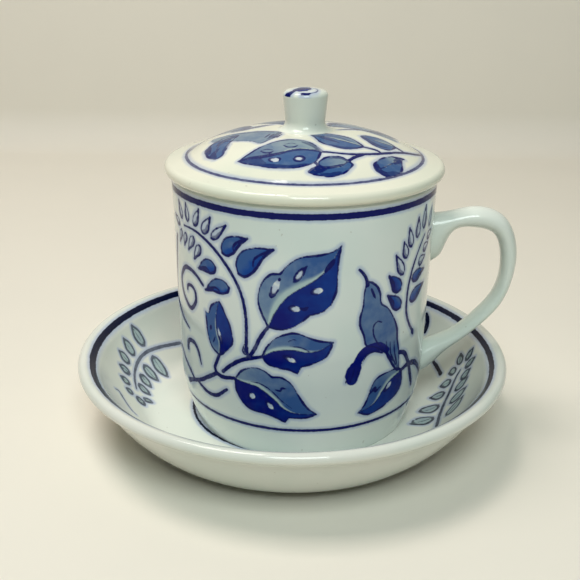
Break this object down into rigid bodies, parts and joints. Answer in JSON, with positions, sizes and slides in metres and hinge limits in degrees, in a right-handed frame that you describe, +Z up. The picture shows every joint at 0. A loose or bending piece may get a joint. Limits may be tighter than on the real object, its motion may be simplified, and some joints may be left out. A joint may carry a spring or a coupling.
{
  "type": "lidded teacup",
  "caption": "Straight-sided porcelain teacup with an ear handle, a loose domed lid with a knob, and a deep saucer, painted in blue with leaves and a bird.",
  "frame": {"origin": "centre of the saucer's foot ring, on the plane it stands on", "axes": "+Z up, +X towards the cup's handle, +Y away from the side that the picture shows"},
  "size_m": [0.1453, 0.144, 0.1146],
  "materials": {
    "saucer_porcelain": "gloss",
    "cup_porcelain": "gloss",
    "handle_porcelain": "gloss",
    "lid_porcelain": "gloss",
    "knob_porcelain": "gloss"
  },
  "bodies": {
    "saucer": {"saucer": "saucer_porcelain"},
    "cup": {"cup_body": "cup_porcelain", "cup_handle": "handle_porcelain"},
    "lid": {"lid": "lid_porcelain", "lid_knob": "knob_porcelain"}
  },
  "joints": [
    {"name": "cup_lift", "type": "slide", "parent": "saucer", "child": "cup", "axis": [0, 0, 1], "range_m": [0, 0.05]},
    {"name": "lid_lift", "type": "slide", "parent": "cup", "child": "lid", "axis": [0, 0, 1], "range_m": [0, 0.04]}
  ]
}
